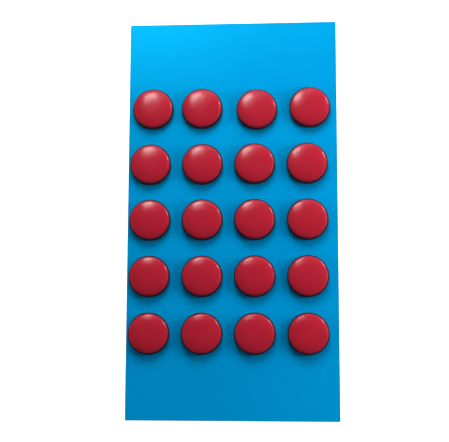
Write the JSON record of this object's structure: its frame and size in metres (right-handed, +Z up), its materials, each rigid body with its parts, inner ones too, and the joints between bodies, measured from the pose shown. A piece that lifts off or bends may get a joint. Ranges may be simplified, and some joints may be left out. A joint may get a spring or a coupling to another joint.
{
  "type": "vibration dampener sheet",
  "caption": "Flat carrier sheet of round, domed, self-adhesive vibration dampeners for rackets; each is a cap over a soft damping core and peels off the sheet.",
  "frame": {"origin": "middle of the carrier sheet's underside", "axes": "+Z up, out of the sheet's printed face towards the domes; +Y along the sheet's long side, towards the row 1 end; +X across it, from column 1 to column 4"},
  "size_m": [0.1006, 0.1918, 0.0049],
  "materials": {
    "cap": "satin gloss, moulded",
    "core": "matt elastomer",
    "carrier": "smooth semi-gloss film",
    "adhesive": "matt acrylic foam tape"
  },
  "bodies": {
    "carrier": {"carrier_sheet": "carrier"},
    "dampener_r1_c1": {"core_r1_c1": "core", "cap_r1_c1": "cap"},
    "dampener_r1_c2": {"core_r1_c2": "core", "cap_r1_c2": "cap"},
    "dampener_r1_c3": {"core_r1_c3": "core", "cap_r1_c3": "cap"},
    "dampener_r1_c4": {"core_r1_c4": "core", "cap_r1_c4": "cap"},
    "dampener_r2_c1": {"core_r2_c1": "core", "cap_r2_c1": "cap"},
    "dampener_r2_c2": {"core_r2_c2": "core", "cap_r2_c2": "cap"},
    "dampener_r2_c3": {"core_r2_c3": "core", "cap_r2_c3": "cap"},
    "dampener_r2_c4": {"core_r2_c4": "core", "cap_r2_c4": "cap"},
    "dampener_r3_c1": {"core_r3_c1": "core", "cap_r3_c1": "cap"},
    "dampener_r3_c2": {"core_r3_c2": "core", "cap_r3_c2": "cap"},
    "dampener_r3_c3": {"core_r3_c3": "core", "cap_r3_c3": "cap"},
    "dampener_r3_c4": {"core_r3_c4": "core", "cap_r3_c4": "cap"},
    "dampener_r4_c1": {"core_r4_c1": "core", "cap_r4_c1": "cap"},
    "dampener_r4_c2": {"core_r4_c2": "core", "cap_r4_c2": "cap"},
    "dampener_r4_c3": {"core_r4_c3": "core", "cap_r4_c3": "cap"},
    "dampener_r4_c4": {"core_r4_c4": "core", "cap_r4_c4": "cap"},
    "dampener_r5_c1": {"core_r5_c1": "core", "cap_r5_c1": "cap"},
    "dampener_r5_c2": {"core_r5_c2": "core", "cap_r5_c2": "cap"},
    "dampener_r5_c3": {"core_r5_c3": "core", "cap_r5_c3": "cap"},
    "dampener_r5_c4": {"core_r5_c4": "core", "cap_r5_c4": "cap"}
  },
  "joints": [
    {"name": "lift_r1_c1", "type": "slide", "parent": "carrier", "child": "dampener_r1_c1", "axis": [0, 0, 1], "range_m": [0, 0.03]},
    {"name": "lift_r1_c2", "type": "slide", "parent": "carrier", "child": "dampener_r1_c2", "axis": [0, 0, 1], "range_m": [0, 0.03]},
    {"name": "lift_r1_c3", "type": "slide", "parent": "carrier", "child": "dampener_r1_c3", "axis": [0, 0, 1], "range_m": [0, 0.03]},
    {"name": "lift_r1_c4", "type": "slide", "parent": "carrier", "child": "dampener_r1_c4", "axis": [0, 0, 1], "range_m": [0, 0.03]},
    {"name": "lift_r2_c1", "type": "slide", "parent": "carrier", "child": "dampener_r2_c1", "axis": [0, 0, 1], "range_m": [0, 0.03]},
    {"name": "lift_r2_c2", "type": "slide", "parent": "carrier", "child": "dampener_r2_c2", "axis": [0, 0, 1], "range_m": [0, 0.03]},
    {"name": "lift_r2_c3", "type": "slide", "parent": "carrier", "child": "dampener_r2_c3", "axis": [0, 0, 1], "range_m": [0, 0.03]},
    {"name": "lift_r2_c4", "type": "slide", "parent": "carrier", "child": "dampener_r2_c4", "axis": [0, 0, 1], "range_m": [0, 0.03]},
    {"name": "lift_r3_c1", "type": "slide", "parent": "carrier", "child": "dampener_r3_c1", "axis": [0, 0, 1], "range_m": [0, 0.03]},
    {"name": "lift_r3_c2", "type": "slide", "parent": "carrier", "child": "dampener_r3_c2", "axis": [0, 0, 1], "range_m": [0, 0.03]},
    {"name": "lift_r3_c3", "type": "slide", "parent": "carrier", "child": "dampener_r3_c3", "axis": [0, 0, 1], "range_m": [0, 0.03]},
    {"name": "lift_r3_c4", "type": "slide", "parent": "carrier", "child": "dampener_r3_c4", "axis": [0, 0, 1], "range_m": [0, 0.03]},
    {"name": "lift_r4_c1", "type": "slide", "parent": "carrier", "child": "dampener_r4_c1", "axis": [0, 0, 1], "range_m": [0, 0.03]},
    {"name": "lift_r4_c2", "type": "slide", "parent": "carrier", "child": "dampener_r4_c2", "axis": [0, 0, 1], "range_m": [0, 0.03]},
    {"name": "lift_r4_c3", "type": "slide", "parent": "carrier", "child": "dampener_r4_c3", "axis": [0, 0, 1], "range_m": [0, 0.03]},
    {"name": "lift_r4_c4", "type": "slide", "parent": "carrier", "child": "dampener_r4_c4", "axis": [0, 0, 1], "range_m": [0, 0.03]},
    {"name": "lift_r5_c1", "type": "slide", "parent": "carrier", "child": "dampener_r5_c1", "axis": [0, 0, 1], "range_m": [0, 0.03]},
    {"name": "lift_r5_c2", "type": "slide", "parent": "carrier", "child": "dampener_r5_c2", "axis": [0, 0, 1], "range_m": [0, 0.03]},
    {"name": "lift_r5_c3", "type": "slide", "parent": "carrier", "child": "dampener_r5_c3", "axis": [0, 0, 1], "range_m": [0, 0.03]},
    {"name": "lift_r5_c4", "type": "slide", "parent": "carrier", "child": "dampener_r5_c4", "axis": [0, 0, 1], "range_m": [0, 0.03]}
  ]
}
